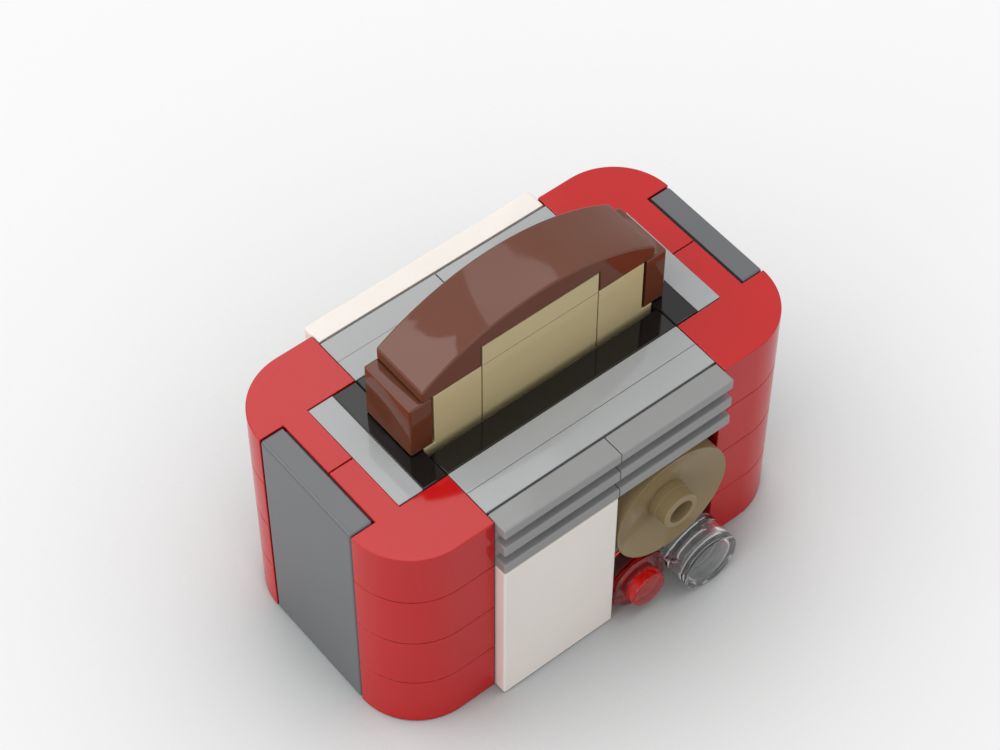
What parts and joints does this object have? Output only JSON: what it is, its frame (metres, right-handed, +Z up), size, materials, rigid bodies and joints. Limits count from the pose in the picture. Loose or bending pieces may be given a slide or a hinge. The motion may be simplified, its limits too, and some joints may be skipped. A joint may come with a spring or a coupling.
{
  "type": "toy toaster",
  "caption": "Toy toaster built from interlocking bricks, with a slice of bread that lifts out of its slot, a dial that turns and round lamps on the front.",
  "frame": {"origin": "middle of the slot's length and width, on the surface that the toaster stands on", "axes": "+X along the slot, to the right seen from the front; +Y towards the back, so the dial faces -Y; +Z up"},
  "size_m": [0.0576, 0.0385, 0.0464],
  "materials": {
    "black_plastic": "glossy moulded ABS plastic",
    "light_grey_plastic": "glossy moulded ABS plastic",
    "mid_grey_plastic": "glossy moulded ABS plastic",
    "white_plastic": "glossy moulded ABS plastic",
    "dark_grey_plastic": "glossy moulded ABS plastic",
    "red_plastic": "glossy moulded ABS plastic",
    "dark_tan_plastic": "glossy moulded ABS plastic",
    "transparent_red_plastic": "glossy see-through plastic",
    "transparent_clear_plastic": "glossy see-through plastic",
    "tan_plastic": "glossy moulded ABS plastic",
    "brown_plastic": "glossy moulded ABS plastic"
  },
  "bodies": {
    "housing": {"base_plate_lower": "black_plastic", "base_plate_upper": "black_plastic", "side_stud_brick_front": "black_plastic", "side_stud_brick_back": "black_plastic", "side_stud_brick_left": "black_plastic", "side_stud_brick_right": "black_plastic", "slot_floor_tile": "black_plastic", "slot_lining_front": "black_plastic", "slot_lining_back": "black_plastic", "end_plate_inner_left": "black_plastic", "end_plate_inner_right": "black_plastic", "wall_plate_front": "light_grey_plastic", "wall_plate_back": "light_grey_plastic", "face_plate_front_top": "light_grey_plastic", "face_plate_front_left": "light_grey_plastic", "dial_plate": "light_grey_plastic", "lamp_plate": "light_grey_plastic", "face_plate_back_left": "light_grey_plastic", "face_plate_back_right": "light_grey_plastic", "end_plate_outer_left": "light_grey_plastic", "end_plate_outer_right": "light_grey_plastic", "grille_left": "mid_grey_plastic", "grille_right": "mid_grey_plastic", "front_tile": "white_plastic", "back_tile_lower": "white_plastic", "back_tile_upper": "white_plastic", "end_tile_left": "dark_grey_plastic", "end_tile_right": "dark_grey_plastic", "corner_brick_front_left_1": "red_plastic", "corner_brick_front_left_2": "red_plastic", "corner_brick_front_left_3": "red_plastic", "corner_brick_front_left_4": "red_plastic", "corner_brick_front_right_1": "red_plastic", "corner_brick_front_right_2": "red_plastic", "corner_brick_front_right_3": "red_plastic", "corner_brick_front_right_4": "red_plastic", "corner_brick_back_left_1": "red_plastic", "corner_brick_back_left_2": "red_plastic", "corner_brick_back_left_3": "red_plastic", "corner_brick_back_left_4": "red_plastic", "corner_brick_back_right_1": "red_plastic", "corner_brick_back_right_2": "red_plastic", "corner_brick_back_right_3": "red_plastic", "corner_brick_back_right_4": "red_plastic"},
    "bread": {"bread_end_brick_left": "tan_plastic", "bread_end_brick_right": "tan_plastic", "bread_middle_brick": "tan_plastic", "bread_middle_plate": "tan_plastic", "bread_bottom_plate": "tan_plastic", "crust_top": "brown_plastic", "crust_left": "brown_plastic", "crust_right": "brown_plastic"},
    "dial": {"dial": "dark_tan_plastic"},
    "red_lamp": {"red_lamp": "transparent_red_plastic"},
    "clear_lamp": {"clear_lamp_plate": "transparent_clear_plastic", "clear_lamp_cap": "transparent_clear_plastic"}
  },
  "joints": [
    {"name": "bread_lift", "type": "slide", "parent": "housing", "child": "bread", "axis": [0, 0, 1], "range_m": [0, 0.032]},
    {"name": "dial_turn", "type": "hinge", "parent": "housing", "child": "dial", "pos_m": [0.008, -0.016, 0.016], "axis": [0, -1, 0], "continuous": true},
    {"name": "red_lamp_turn", "type": "hinge", "parent": "housing", "child": "red_lamp", "pos_m": [0.004, -0.016, 0.004], "axis": [0, -1, 0], "continuous": true},
    {"name": "clear_lamp_turn", "type": "hinge", "parent": "housing", "child": "clear_lamp", "pos_m": [0.012, -0.016, 0.004], "axis": [0, -1, 0], "continuous": true}
  ]
}
